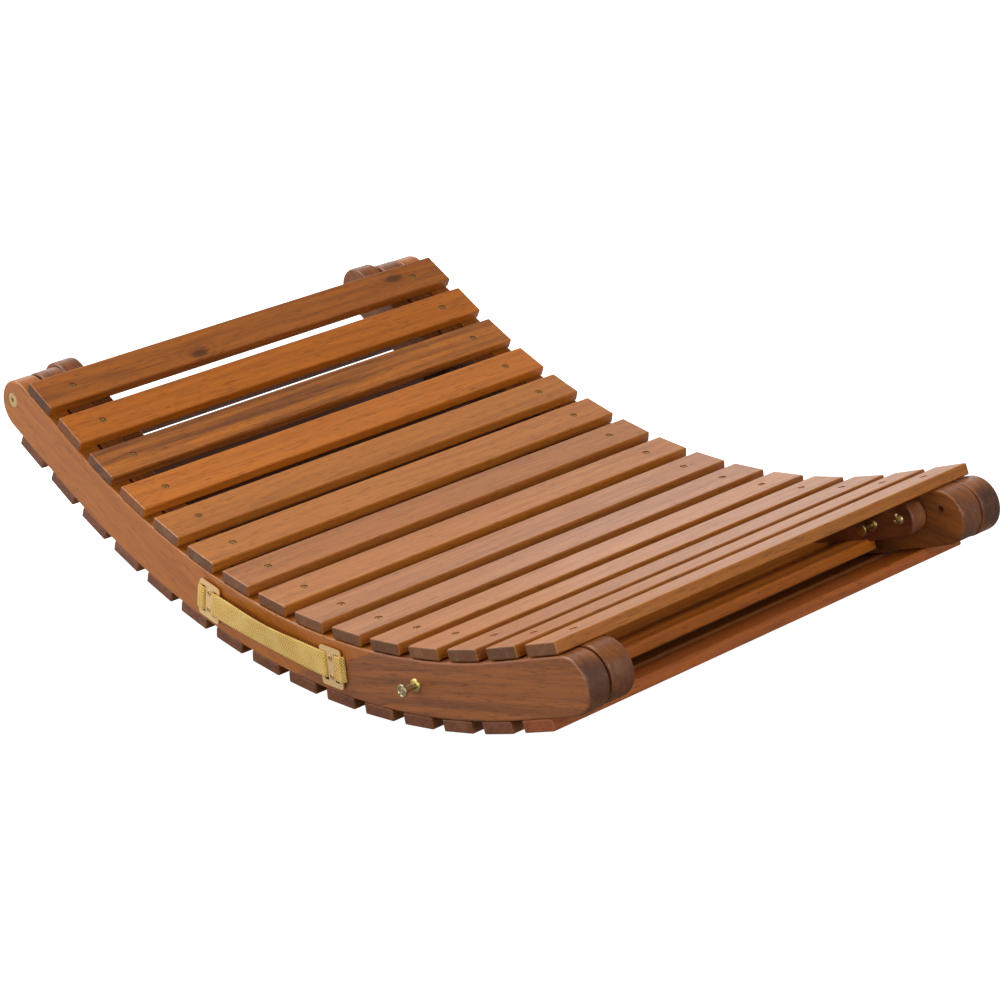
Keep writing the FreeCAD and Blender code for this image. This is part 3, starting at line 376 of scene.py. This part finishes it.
def turned(name, profile, places, recess=None, around=44):
    """Turned pieces in one mesh: a profile carried round the axis of each place.

    The profile is rows of (radius, height) from foot to crown, and a place is a point and an axis.
    A vertex is the point, plus the radius times cos and sin of its angle across the axis, plus the
    height along it. A recess lowers the rings from the highest one to the middle of the crown.
    Each piece is turned a golden angle further than the one before.
    """
    radius, height = np.array(profile).T
    angle = np.linspace(0, 2 * np.pi, around, endpoint=False)
    x = radius[:, None] * np.cos(angle)
    y = radius[:, None] * np.sin(angle)
    z = np.repeat(height[:, None], around, 1)
    if recess is not None:
        z = z - recess(x, y) * (np.arange(len(height)) >= np.argmax(height))[:, None]
    start = np.array([point for point, axis in places])
    axis = np.array([axis.normalized() for point, axis in places])
    level = np.abs(axis[:, 1:2]) > 0.5
    side = np.cross(axis, np.where(level, [[1.0, 0.0, 0.0]], [[0.0, 1.0, 0.0]]))
    other = np.cross(axis, side)
    spin = np.arange(len(places))[:, None] * np.pi * (3 - np.sqrt(5))
    side, other = (np.cos(spin) * side + np.sin(spin) * other,
                   np.cos(spin) * other - np.sin(spin) * side)
    start, side, other, axis = (rows[:, None, None, :] for rows in (start, side, other, axis))
    points = start + x[..., None] * side + y[..., None] * other + z[..., None] * axis
    corner = np.arange(points.size // 3).reshape(points.shape[:3])
    low, high = corner[:, :-1], corner[:, 1:]
    faces = np.stack([low, np.roll(low, -1, 2), np.roll(high, -1, 2), high], -1)
    mesh = bpy.data.meshes.new(name)
    mesh.from_pydata(points.reshape(-1, 3).tolist(), [], faces.reshape(-1, 4).tolist())
    shape = bmesh.new()
    shape.from_mesh(mesh)
    bmesh.ops.remove_doubles(shape, verts=shape.verts, dist=1e-6)
    bmesh.ops.recalc_face_normals(shape, faces=shape.faces)
    shape.to_mesh(mesh)
    shape.free()
    mesh.shade_smooth()
    mesh.set_sharp_from_angle(angle=np.radians(40))
    return mesh


def bring_in(name, data):
    """New object in the scene, at the origin."""
    made = bpy.data.objects.new(name, data)
    bpy.context.scene.collection.objects.link(made)
    return made


def fit(mesh, material, body, slot, *stands_for):
    """Bring in a new piece: the body it rides on, its slot (not used) and the CAD nodes it stands
    for.
    """
    piece = bring_in(mesh.name, mesh)
    mesh.materials.append(material)
    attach(piece, body)
    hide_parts(*stands_for)


def crown(radius, height, rings):
    """Rings of a flat crown, from its rim to its middle."""
    return [(part, height) for part in np.linspace(radius, 0, rings)]


SLAT_THICKNESS = 0.013
SCREW_SEAT = -0.0032
SCREW_TOP = -0.0008
SCREW_HEAD = 0.0041
SCREW_SHANK = 0.00225
CAD_SCREW_HEAD = 0.0038
SCREW_PROFILE = [(0, SCREW_SEAT - 0.030), (0.0006, SCREW_SEAT - 0.0292),
                 (SCREW_SHANK, SCREW_SEAT - 0.024), (SCREW_SHANK, SCREW_SEAT),
                 (SCREW_HEAD, SCREW_SEAT), (SCREW_HEAD, SCREW_TOP - 0.0004),
                 (SCREW_HEAD - 0.00012, SCREW_TOP - 0.0001),
                 *crown(SCREW_HEAD - 0.0004, SCREW_TOP, 12)]
olive_brass = brass("olive_brass", (0.42, 0.22, 0.065), (0.28, 0.14, 0.04), 0.8, 0.6)
for kind, side, body in (("back", 1, "back_frame"), ("leg", -1, "leg_frame")):
    node = f"{kind}_slat_screws"
    screw_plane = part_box(node)[1].y - CAD_SCREW_HEAD
    places = []
    for slat in slat_names(kind):
        face = broad_face(slat, side)
        surface_point = middle(slat) + face * SLAT_THICKNESS / 2
        places += [(surface_point + hand * screw_plane * ACROSS, face) for hand in (-1, 1)]
    mesh = turned(f"{kind}_sunk_screws", SCREW_PROFILE, places,
                  cross_recess(0.00045, 0.0021, 0.0012))
    fit(mesh, olive_brass, body, "brass", node)

# Hinge. On each side a flat brass bolt with a hexagon socket, sunk in the outer rail and screwed
# into a long brass sleeve that runs through both rails and the prop leg.
hinge_brass = brass("hinge_brass", (0.66, 0.46, 0.20), (0.42, 0.28, 0.11), 0.5, 0.75)
for node in ("hinge_bolts", "hinge_sleeves"):
    dress(node, hinge_brass)

# Prop legs and their crossbar. Two short straight legs of the inner rails' red-brown wood, which
# turn on the hinge sleeves, and a bar of the underside slats' wood tenoned between them.
for number, side in enumerate(("near", "far")):
    oiled_wood(f"prop_leg_{side}", (1, 0, -0.45), ACROSS, RED_BROWN, (number * 3.1 + 9, 0.05, 0.1))
oiled_wood("prop_leg_crossbar", ACROSS, (0.4, 0, 0.9), LEG_BROWN, (13, 0.05, 0.1))

# Headrest. Two bars on pivots near the free end and four slats let into their lower edge. The bars'
# wood is painted dark as painted shade inside the folded frame, with end grain painted lighter than
# their faces as painted light. Each pivot is a shoulder screw with a domed head and a round socket,
# driven from inside into the rail, in brass painted darker as painted shade.
# Bar wood painted dark red: painted shade inside the folded frame.
SHADED_BAR_RED = ((0.150, 0.036, 0.008), (0.070, 0.016, 0.005))
# End tint above one: the bars' end grain is painted lighter than their faces, as painted light
# where it catches the light.
LIT_BAR_END = (1.6, 2.2, 3.0)
HEADREST_SLATS = 4
BAR_FACE = 0.2165
PIVOT_PROFILE = [(0, -0.0475), (0.0026, -0.0475), (0.003, -0.047), (0.003, -0.0235),
                 (0.004, -0.0235), (0.004, 0), (0.007, 0), (0.007, 0.0005), (0.0066, 0.0016),
                 (0.0058, 0.0025), (0.0045, 0.0033), (0.003, 0.0038), (0.0022, 0.0040),
                 (0.0019, 0.0036), (0.0018, 0.0022), (0, 0.0020)]
for number, side in enumerate(("near", "far")):
    oiled_wood(f"headrest_bar_{side}", (1, 0, 0.3), ACROSS, SHADED_BAR_RED,
               (number * 2.1 + 17, 0.05, 0.1), end_tint=LIT_BAR_END)
for number in range(1, HEADREST_SLATS + 1):
    node = f"headrest_slat_{number}"
    oiled_wood(node, ACROSS, broad_face(node, -1), ORANGE, (number * 1.1 + 21, 0.05, 0.1))
# Darker copy of the pins' brass for the pivots and the headrest pins and bushes: painted shade
# inside the frame.
shaded_brass = brass("shaded_brass", (0.50, 0.36, 0.14), (0.27, 0.18, 0.07), 0.6)
pivot = middle("headrest_pivot_screws")
places = [(Vector((pivot.x, hand * BAR_FACE, pivot.z)), -hand * ACROSS) for hand in (-1, 1)]
fit(turned("domed_pivots", PIVOT_PROFILE, places), shaded_brass, "back_frame", "brass",
    "headrest_pivot_screws")

# Lock pins. Turned brass pull pins with a disc head, each in a bush whose domed flange lies on the
# wood: two in the outer rails with ringed heads outside, and two in the headrest bars with plain
# heads inside, in a brass painted darker as painted shade.
RINGED_FACE = [(0.0054, 0), (0.0051, -0.0007), (0.0034, -0.0008), (0.0031, -0.0003),
               (0.0014, -0.0002), (0.0011, -0.0007), (0, -0.0008)]
PLAIN_FACE = [(0, 0)]
PIN_RADIUS = 0.0035
PIN_HEAD = 0.007
FLANGE = 0.00725
BORE = PIN_RADIUS + 0.00005
BARREL = 0.0055
OUTER_FACE = 0.3005
pin_brass = brass("pin_brass", (0.60, 0.50, 0.31), (0.36, 0.27, 0.14), 0.6)
bush_brass = brass("bush_brass", (0.70, 0.57, 0.20), (0.48, 0.36, 0.11), 0.5)
for kind, body, outward, seat, depth, face, pin_skin, bush_skin in (
        ("frame", "leg_frame", 1, OUTER_FACE, 0.0275, RINGED_FACE, pin_brass, bush_brass),
        ("headrest", "headrest", -1, BAR_FACE, 0.0215, PLAIN_FACE, shaded_brass, shaded_brass)):
    bushes = []
    for side, hand in (("near", -1), ("far", 1)):
        node = f"{kind}_lock_pin_{side}"
        low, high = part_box(node)
        length = high.y - low.y
        axis = outward * hand * ACROSS
        centre = (low + high) / 2
        bushes.append((Vector((centre.x, hand * seat, centre.z)), axis))
        profile = [(0, 0), (PIN_RADIUS - 0.0005, 0), (PIN_RADIUS, 0.0005),
                   (PIN_RADIUS, length - 0.0030), (PIN_HEAD - 0.0006, length - 0.0030),
                   (PIN_HEAD - 0.0001, length - 0.0027), (PIN_HEAD, length - 0.0022),
                   (PIN_HEAD, length - 0.0006), (PIN_HEAD - 0.0002, length - 0.0002),
                   (PIN_HEAD - 0.0006, length),
                   *((radius, length + height) for radius, height in face)]
        mesh = turned(f"{kind}_pull_pin_{side}", profile, [(centre - axis * length / 2, axis)])
        fit(mesh, pin_skin, node, "brass", node)
    bush_profile = [(BORE, -depth), (BARREL, -depth), (BARREL, 0), (FLANGE, 0), (FLANGE, 0.0005),
                    (FLANGE - 0.0003, 0.0011), (0.0061, 0.0018), (0.0050, 0.0023),
                    (0.0042, 0.0025), (BORE + 0.0002, 0.0025), (BORE, 0.0023), (BORE, -depth)]
    mesh = turned(f"{kind}_flanged_bushes", bush_profile, bushes)
    fit(mesh, bush_skin, body, "brass", f"{kind}_pin_bushes")


# Strap brackets. Two pressed brass plates with a slot on each side of a centre bar, and two
# round-headed screws through each centre bar into the near outer rail.
BEND_RADIUS = 0.830
STRAP_DEPTH = 0.04445
UNDERSIDE_RADIUS = 0.9177
LEG_SLAT_SHIFT = 0.0146
BRACKET_SPREAD = 0.207
BRACKET_SCREW_SPREAD = 0.021
PLATE_FACE = 0.3046
BRACKET_SCREW_PROFILE = [(0, -0.014), (0.0004, -0.0137), (0.0015, -0.011), (0.0015, 0),
                         (0.00325, 0), (0.00325, 0.0002), (0.0031, 0.0006), (0.0027, 0.0009),
                         *crown(0.0022, 0.0010, 9)]
rail_line = BEND_RADIUS + STRAP_DEPTH


def on_rail(radius, swing, level):
    """Points at a radius and angle about the centre of the rail's bend.

    The level is their distance out to the near side. All are then turned about that centre by the
    leg slats' shift over the underside's radius, and raised by that radius.
    """
    bent = np.stack([radius * np.sin(swing), -level + 0 * radius, -radius * np.cos(swing)], -1)
    lean = np.array(Matrix.Rotation(-LEG_SLAT_SHIFT / UNDERSIDE_RADIUS, 3, "Y"))
    return bent.reshape(-1, 3) @ lean.T + np.array((0, 0, UNDERSIDE_RADIUS))


pale_brass = brass("pale_brass", (0.86, 0.58, 0.27), (0.68, 0.42, 0.17), 0.35, 0.6)
dress("strap_brackets", pale_brass)
screw_brass = brass("screw_brass", (0.58, 0.38, 0.16), (0.36, 0.22, 0.085), 0.5, 0.7)
half_turn = BRACKET_SPREAD / 2 / rail_line
screw_points = on_rail(rail_line + BRACKET_SCREW_SPREAD / 2 * np.array((-1, 1, -1, 1)),
                       half_turn * np.array((-1, -1, 1, 1)), np.full(4, PLATE_FACE))
mesh = turned("round_head_screws", BRACKET_SCREW_PROFILE,
              [(Vector(point), -ACROSS) for point in screw_points],
              cross_recess(0.0005, 0.0020, 0.0012))
fit(mesh, screw_brass, "leg_frame", "brass", "bracket_screws")

# Carrying strap. One length of golden herringbone webbing: it turns round the outer bar of each
# bracket, dips under its centre bar and bows out in between, more at its slack upper edge than at
# its lower one.
STRAP_WIDTH = 0.029
STRAP_THICKNESS = 0.002
CENTRE_BAR = 0.011
SLOT = 0.0065
OUTER_BAR = 0.005
STRAP_FLAT = 0.3018
STRAP_OVER = 0.3059
UPPER_BOW = 0.0055
LOWER_BOW = 0.0010
STRAP_LIFT = 0.0045
END_LIFT = 0.0006
DIP_START = 0.0002
DIP_RUN = 0.0037
WRAP_START = 0.0006
WRAP = 0.0032
WEFT_PITCH = 0.0032
WARP_PITCH = 0.0024
ZIGZAG = 0.0048
EDGE_SWELL = 0.018
YARN_HEIGHT = 0.0003
YARN_GOLD = (0.84, 0.57, 0.12, 1)
# Dark colour between the yarn ridges: painted shade in the grooves of the weave.
PAINTED_GROOVE_SHADE = (0.28, 0.12, 0.012, 1)
YARN_FADED = (0.80, 0.58, 0.18, 1)
YARN_FLECK = (0.62, 0.28, 0.015, 1)
bracket_edge = BRACKET_SPREAD / 2 + CENTRE_BAR / 2 + SLOT + OUTER_BAR


def strap_level(x, part):
    """Distance of the strap's middle from the lounger's middle plane.

    The part is -1 at its upper edge and 1 at its lower one. A squared cosine bows it out between
    the brackets. In each bracket a smooth dip takes it under the centre bar, and past the outer
    bar it turns down to the rail.
    """
    bracket = BRACKET_SPREAD / 2
    inner = bracket - CENTRE_BAR / 2 - SLOT - OUTER_BAR
    reach = np.abs(x)
    slack = UPPER_BOW + (LOWER_BOW - UPPER_BOW) * (part + 1) / 2
    bow = slack * np.cos(np.clip(reach / inner, 0, 1) * np.pi / 2) ** 2
    aside = np.abs(reach - bracket)
    dip = 1 - smooth(CENTRE_BAR / 2 - DIP_START, CENTRE_BAR / 2 + DIP_RUN, aside)
    dip = dip + smooth(bracket_edge - WRAP_START, bracket_edge + WRAP, reach)
    return STRAP_OVER + bow - dip * (STRAP_OVER - STRAP_FLAT)


def webbing_mesh(name):
    """Closed band: a grid along the rail and round the webbing's section.

    The section is flat with rounded edges: its half thickness is the root of 1 minus the eighth
    power of the place across. The yarns stand up as zigzag ridges, and the edges swell and shrink
    once for every turn of the weft. UV is metres along the band's own line and across it.
    """
    steps, around = 600, 96
    half_reach = bracket_edge + WRAP
    x = np.linspace(-half_reach, half_reach, steps)[:, None]
    lap = np.arange(around)[None, :] / around * 2
    face = np.where(lap < 1, 1.0, -1.0)
    part = np.where(lap < 1, 1 - 2 * lap, 2 * lap - 3)
    line = np.hypot(np.diff(x[:, 0]), np.diff(strap_level(x[:, 0], 0)))
    run = np.concatenate([[0], np.cumsum(line)])[:, None]
    tooth = 1 + EDGE_SWELL * np.cos(2 * np.pi * run / WEFT_PITCH)
    across = STRAP_WIDTH / 2 * tooth * part
    zigzag = np.abs((across / ZIGZAG) % 2 - 1) * ZIGZAG
    ridge = np.abs(np.sin(np.pi * (run + zigzag) / WEFT_PITCH))
    rounding = np.sqrt(1 - part ** 8)
    through = face * rounding * (STRAP_THICKNESS / 2 - YARN_HEIGHT * (1 - ridge))
    middle_level = strap_level(x, part)
    lean = np.arctan(np.gradient(middle_level, x[:, 0], axis=0))
    along = x - through * np.sin(lean)
    level = middle_level + through * np.cos(lean)
    end_part = x / half_reach
    lift = STRAP_LIFT * np.cos(np.clip(end_part, -1, 1) * np.pi / 2) ** 2
    lift = lift + END_LIFT * (1 + end_part)
    points = on_rail(rail_line + across - lift, np.arcsin(along / rail_line), level)
    corner = np.arange(steps * around).reshape(steps, around)
    low, high = corner[:-1], corner[1:]
    quads = np.stack([low, high, np.roll(high, -1, 1), np.roll(low, -1, 1)], -1).reshape(-1, 4)
    ends = [corner[0].tolist(), corner[-1][::-1].tolist()]
    mesh = bpy.data.meshes.new(name)
    mesh.from_pydata(points.tolist(), [], quads.tolist() + ends)
    layer = mesh.uv_layers.new(name="webbing")
    of_corner = np.zeros(len(mesh.loops), int)
    mesh.loops.foreach_get("vertex_index", of_corner)
    flat = np.stack([np.repeat(run, around, 1), across], -1).reshape(-1, 2)
    layer.data.foreach_set("uv", flat[of_corner].ravel())
    mesh.shade_smooth()
    return mesh


def webbing_cloth():
    """Herringbone webbing: zigzag rows of weft crossed by warp, yarns as ridges, with painted shade
    darker between.
    """
    material, tree, surface = new_material("golden_webbing")
    place = add(tree, "ShaderNodeUVMap", uv_map="webbing")
    split = add(tree, "ShaderNodeSeparateXYZ", {0: place.outputs[0]})
    zigzag = calculate(tree, "PINGPONG", split.outputs["Y"], ZIGZAG)
    row = calculate(tree, "ADD", split.outputs["X"], zigzag)
    row = calculate(tree, "MULTIPLY", row, np.pi / WEFT_PITCH)
    ridge = calculate(tree, "ABSOLUTE", calculate(tree, "SINE", row))
    yarn = calculate(tree, "MULTIPLY", split.outputs["Y"], np.pi / WARP_PITCH)
    yarn = calculate(tree, "ABSOLUTE", calculate(tree, "SINE", yarn))
    weave = calculate(tree, "MULTIPLY", ridge, calculate(tree, "MULTIPLY_ADD", yarn, 0.6, 0.4))
    spot = add(tree, "ShaderNodeTexCoord")
    fade = stretched_noise(tree, spot.outputs["Object"], (45.0, 45.0, 45.0))
    fleck = stretched_noise(tree, spot.outputs["Object"], (900.0, 900.0, 900.0), 1.0)
    # Painted shade: darker in the grooves between the yarn ridges.
    colour = mixed(tree, weave, PAINTED_GROOVE_SHADE, YARN_GOLD)
    colour = mixed(tree, ramp(tree, fade, 0.4, 0.7, 0.0, 0.25), colour, YARN_FADED)
    colour = mixed(tree, ramp(tree, fleck, 0.60, 0.72, 0.0, 0.6), colour, YARN_FLECK)
    relief = add(tree, "ShaderNodeBump", {"Strength": 0.6, "Distance": 0.0005, "Height": weave})
    tree.links.new(colour, surface.inputs["Base Color"])
    tree.links.new(relief.outputs[0], surface.inputs["Normal"])
    surface.inputs["Roughness"].default_value = 0.75
    surface.inputs["Sheen Weight"].default_value = 0.2
    return material


fit(webbing_mesh("webbing_strap"), webbing_cloth(), "leg_frame", "webbing", "carry_strap")

# Studio. A plain pale floor under a pale sky, both brightest behind on the left, with a large soft
# light high on the left and smaller ones on the right and low in front. The floor is lifted where
# the camera sees it, so that the shadow stays faint.
FLOOR_REACH = 12.0
FLOOR_DROP = 0.0005
FLOOR_LIFT = 0.97
FLOOR_FRONT = 0.5
FLOOR_BACK = 0.95
FLOOR_RIGHT = 0.35
SKY_LOW = 1.3
SKY_HIGH = 0.15
SKY_RIGHT = 0.3
SKY_FRONT = 0.9
GLOW_FROM = Vector((-0.75, 0.65, 0.0)).normalized()
GLOW = 0.52
WHITE = (1, 1, 1, 1)
floor_mesh = bpy.data.meshes.new("studio_floor")
floor_height = cad_box[0].z - FLOOR_DROP
floor_corners = ((-1, -1), (1, -1), (1, 1), (-1, 1))
floor_mesh.from_pydata([(x * FLOOR_REACH, y * FLOOR_REACH, floor_height) for x, y in floor_corners],
                       [], [(0, 1, 2, 3)])
floor = bring_in("studio_floor", floor_mesh)
floor_paint, floor_tree, floor_surface = new_material("floor_white")
floor_place = add(floor_tree, "ShaderNodeTexCoord").outputs["Object"]
floor_spot = add(floor_tree, "ShaderNodeSeparateXYZ", {0: floor_place}).outputs
floor_tone = ramp(floor_tree, floor_spot["Y"], 0.25, 0.60, FLOOR_FRONT, FLOOR_BACK)
floor_tone = calculate(floor_tree, "MULTIPLY", floor_tone,
                       ramp(floor_tree, floor_spot["X"], -0.3, 0.3, 1.0, FLOOR_RIGHT))
floor_tree.links.new(floor_tone, floor_surface.inputs["Base Color"])
floor_surface.inputs["Roughness"].default_value = 0.9
floor_surface.inputs["Emission Color"].default_value = WHITE
floor_seen = add(floor_tree, "ShaderNodeLightPath").outputs["Is Camera Ray"]
floor_tree.links.new(calculate(floor_tree, "MULTIPLY", floor_seen, FLOOR_LIFT),
                     floor_surface.inputs["Emission Strength"])
floor_mesh.materials.append(floor_paint)

sky = bpy.data.worlds.new("studio_sky")
sky.use_nodes = True
sky_tree = sky.node_tree
sky_shader = sky_tree.nodes["Background"]
sky_place = add(sky_tree, "ShaderNodeTexCoord").outputs["Generated"]
sky_spot = add(sky_tree, "ShaderNodeSeparateXYZ", {0: sky_place}).outputs
sky_tone = ramp(sky_tree, sky_spot["Z"], 0.25, 0.8, SKY_LOW, SKY_HIGH)
towards = reckon(sky_tree, "DOT_PRODUCT", sky_place, GLOW_FROM)["Value"]
sky_tone = calculate(sky_tree, "ADD", sky_tone, ramp(sky_tree, towards, 0.92, 0.99, 0.0, GLOW))
sky_tone = calculate(sky_tree, "MULTIPLY", sky_tone,
                     ramp(sky_tree, sky_spot["X"], -0.1, 0.5, 1.0, SKY_RIGHT))
sky_tone = calculate(sky_tree, "MULTIPLY", sky_tone,
                     ramp(sky_tree, sky_spot["Y"], -0.7, 0.0, SKY_FRONT, 1.0))
sky_seen = add(sky_tree, "ShaderNodeLightPath").outputs["Is Camera Ray"]
sky_light = calculate(sky_tree, "MAXIMUM", sky_tone, sky_seen)
sky_tree.links.new(sky_light, sky_shader.inputs["Strength"])
sky_shader.inputs["Color"].default_value = WHITE
bpy.context.scene.world = sky
bpy.context.scene.view_settings.view_transform = "Standard"


def soft_light(name, place, target, size, power):
    """Square area light that points at a target."""
    lamp = bpy.data.lights.new(name, "AREA")
    lamp.size = size
    lamp.energy = power
    holder = bring_in(name, lamp)
    holder.location = place
    holder.rotation_euler = (Vector(target) - Vector(place)).to_track_quat("-Z", "Y").to_euler()


soft_light("key", (-2.0, -0.9, 2.9), (0, 0, 0.1), 2.8, 125)
soft_light("fill", (2.6, -0.4, 1.6), (0.3, 0, 0.1), 1.5, 40)
soft_light("front", (0.3, -2.6, 0.5), (0, 0, 0.1), 1.6, 22)

# Camera. At the photograph's place, beyond the near corner of the free end, looking down along the
# lounger through a long lens, with hardly any roll.
CAMERA_PLACE = Vector((2.23109, -2.00651, 1.53615))
CAMERA_AIM = Vector((-0.06372, 0.09589, 0.05))
CAMERA_ROLL = 0.2687
LENS = 107.81
SENSOR = 36.0
camera = bpy.data.cameras.new("camera")
camera.lens = LENS
camera.sensor_width = SENSOR
viewer = bring_in("camera", camera)
look = (CAMERA_AIM - CAMERA_PLACE).normalized()
tilt = Quaternion(look, -np.radians(CAMERA_ROLL))
viewer.location = CAMERA_PLACE
viewer.rotation_euler = (tilt @ look.to_track_quat("-Z", "Y")).to_euler()
bpy.context.scene.camera = viewer
